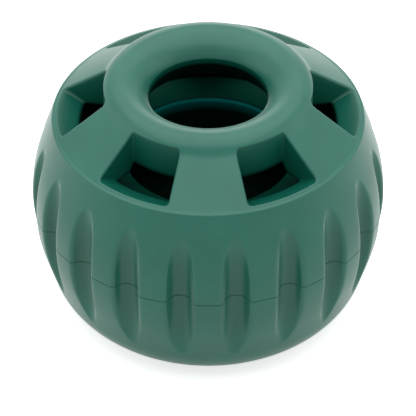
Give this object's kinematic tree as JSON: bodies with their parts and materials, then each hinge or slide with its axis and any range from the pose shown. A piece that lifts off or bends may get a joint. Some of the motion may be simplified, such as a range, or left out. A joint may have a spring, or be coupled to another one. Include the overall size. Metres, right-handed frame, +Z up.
{
  "type": "slow feeder treat ball",
  "caption": "Fluted rubber treat ball with a lipped filling hole and windows in its dome. Its cup and dome lock with a short twist at a seam round the middle.",
  "frame": {"origin": "middle of the flat foot that the ball stands on", "axes": "+Z up along the ball's axis, out of the filling hole; a spoke between two windows faces -Y"},
  "size_m": [0.08, 0.08, 0.0595],
  "materials": {
    "green_rubber": "matte moulded rubber, soft sheen at grazing angles"
  },
  "bodies": {
    "lower_half": {"lower_shell": "green_rubber"},
    "upper_half": {"upper_shell": "green_rubber"}
  },
  "joints": [
    {"name": "twist_lock", "type": "hinge", "parent": "lower_half", "child": "upper_half", "pos_m": [0, 0, 0.0277], "axis": [0, 0, 1], "range_deg": [0, 50]}
  ]
}
